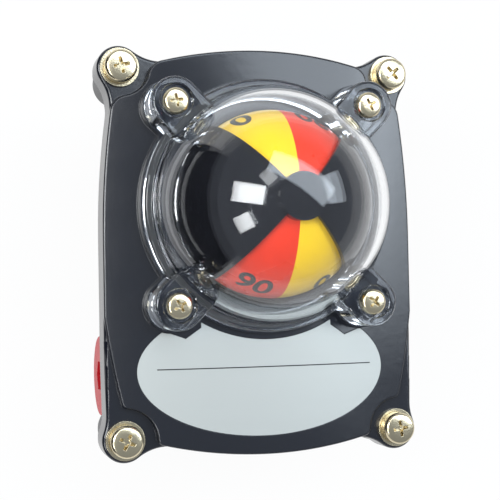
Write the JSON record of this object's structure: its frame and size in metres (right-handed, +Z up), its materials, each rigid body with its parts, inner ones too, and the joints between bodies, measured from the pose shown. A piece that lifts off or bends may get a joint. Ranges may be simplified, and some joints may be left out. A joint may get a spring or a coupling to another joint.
{
  "type": "valve limit switch box",
  "caption": "Drafted two-part cast box with a clear dome over a two-colour position indicator, a cam shaft and roller-lever switches inside.",
  "frame": {"origin": "on the drive shaft axis, in the mounting face under the housing", "axes": "+Z up along the shaft towards the dome, +Y towards the end of the box nearest the dome, +X towards the open cable entry"},
  "size_m": [0.0954, 0.12, 0.109],
  "materials": {
    "housing_paint": "gloss",
    "cover_paint": "gloss",
    "seal_rubber": "matte",
    "zinc_steel": "satin",
    "stainless": "satin",
    "spring_steel": "satin",
    "bush_bronze": "satin",
    "contact_brass": "satin",
    "label_film": "satin",
    "clear_dome": "polished",
    "black_gloss": "gloss",
    "red_plastic": "gloss",
    "yellow_plastic": "gloss",
    "dark_plastic": "matte",
    "roller_plastic": "matte",
    "wire_insulation": "matte"
  },
  "bodies": {
    "housing": {"bracket_screws": "zinc_steel", "cable_plug": "red_plastic", "cover_gasket": "seal_rubber", "ground_screw": "zinc_steel", "ground_washer": "contact_brass", "housing": "housing_paint", "lever_pivot_pins": "spring_steel", "plug_seal": "seal_rubber", "shaft_bush": "bush_bronze", "switch_body_lower": "dark_plastic", "switch_body_upper": "dark_plastic", "switch_bracket": "zinc_steel", "switch_nuts": "zinc_steel", "switch_screws": "zinc_steel", "switch_spacers": "zinc_steel", "switch_terminals_lower": "contact_brass", "switch_terminals_upper": "contact_brass", "switch_wires": "wire_insulation", "terminal_block": "dark_plastic", "terminal_clamp_screws": "zinc_steel", "terminal_fixing_screws": "zinc_steel", "terminal_plates": "contact_brass"},
    "cover": {"cover": "cover_paint", "label_plate": "label_film", "dome": "clear_dome", "dome_gasket": "seal_rubber", "dome_screws": "zinc_steel", "indicator_mask": "black_gloss", "cover_screws": "zinc_steel", "cover_spring_washers": "zinc_steel", "cover_flat_washers": "zinc_steel", "spindle_bush": "bush_bronze"},
    "indicator": {"indicator_rotor_red": "red_plastic", "indicator_sectors_yellow": "yellow_plastic", "indicator_spindle": "stainless", "indicator_screw": "zinc_steel", "spindle_seal": "seal_rubber", "spindle_circlip": "spring_steel"},
    "shaft": {"drive_shaft": "stainless", "shaft_seal": "seal_rubber", "shaft_circlip": "spring_steel", "cam_lower": "red_plastic", "cam_upper": "yellow_plastic", "cam_spring": "spring_steel", "cam_washer": "zinc_steel", "cam_circlip": "spring_steel"},
    "lever_lower": {"switch_lever_lower": "spring_steel", "roller_axle_lower": "spring_steel"},
    "roller_lower": {"switch_roller_lower": "roller_plastic"},
    "plunger_lower": {"switch_plunger_lower": "red_plastic"},
    "lever_upper": {"switch_lever_upper": "spring_steel", "roller_axle_upper": "spring_steel"},
    "roller_upper": {"switch_roller_upper": "roller_plastic"},
    "plunger_upper": {"switch_plunger_upper": "red_plastic"}
  },
  "joints": [
    {"name": "shaft_turn", "type": "hinge", "parent": "housing", "child": "shaft", "pos_m": [0, 0, 0], "axis": [0, 0, 1], "range_deg": [-45, 45]},
    {"name": "cover_lift", "type": "slide", "parent": "housing", "child": "cover", "axis": [0, 0, 1], "range_m": [0, 0.09]},
    {"name": "indicator_turn", "type": "hinge", "parent": "cover", "child": "indicator", "pos_m": [0, 0, 0.056], "axis": [0, 0, 1], "range_deg": [-45, 45]},
    {"name": "lever_lower_swing", "type": "hinge", "parent": "housing", "child": "lever_lower", "pos_m": [0.013, -0.0152, 0.023], "axis": [0, 0, 1], "range_deg": [-6.2, 6.2]},
    {"name": "plunger_lower_press", "type": "slide", "parent": "housing", "child": "plunger_lower", "axis": [0, -1, 0], "range_m": [-0.0009, 0.0009]},
    {"name": "roller_lower_spin", "type": "hinge", "parent": "lever_lower", "child": "roller_lower", "pos_m": [0, -0.0127, 0.023], "axis": [0, 0, 1], "continuous": true},
    {"name": "lever_upper_swing", "type": "hinge", "parent": "housing", "child": "lever_upper", "pos_m": [0.013, -0.0152, 0.035], "axis": [0, 0, 1], "range_deg": [-6.2, 6.2]},
    {"name": "plunger_upper_press", "type": "slide", "parent": "housing", "child": "plunger_upper", "axis": [0, -1, 0], "range_m": [-0.0009, 0.0009]},
    {"name": "roller_upper_spin", "type": "hinge", "parent": "lever_upper", "child": "roller_upper", "pos_m": [0, -0.0127, 0.035], "axis": [0, 0, 1], "continuous": true}
  ],
  "couplings": [
    {"joint": "indicator_turn", "follows": "shaft_turn", "ratio": 1},
    {"joint": "lever_lower_swing", "follows": "shaft_turn", "ratio": 0.129},
    {"joint": "plunger_lower_press", "follows": "shaft_turn", "m_per_rad": 0.000968},
    {"joint": "lever_upper_swing", "follows": "shaft_turn", "ratio": -0.1252},
    {"joint": "plunger_upper_press", "follows": "shaft_turn", "m_per_rad": -0.000939}
  ]
}
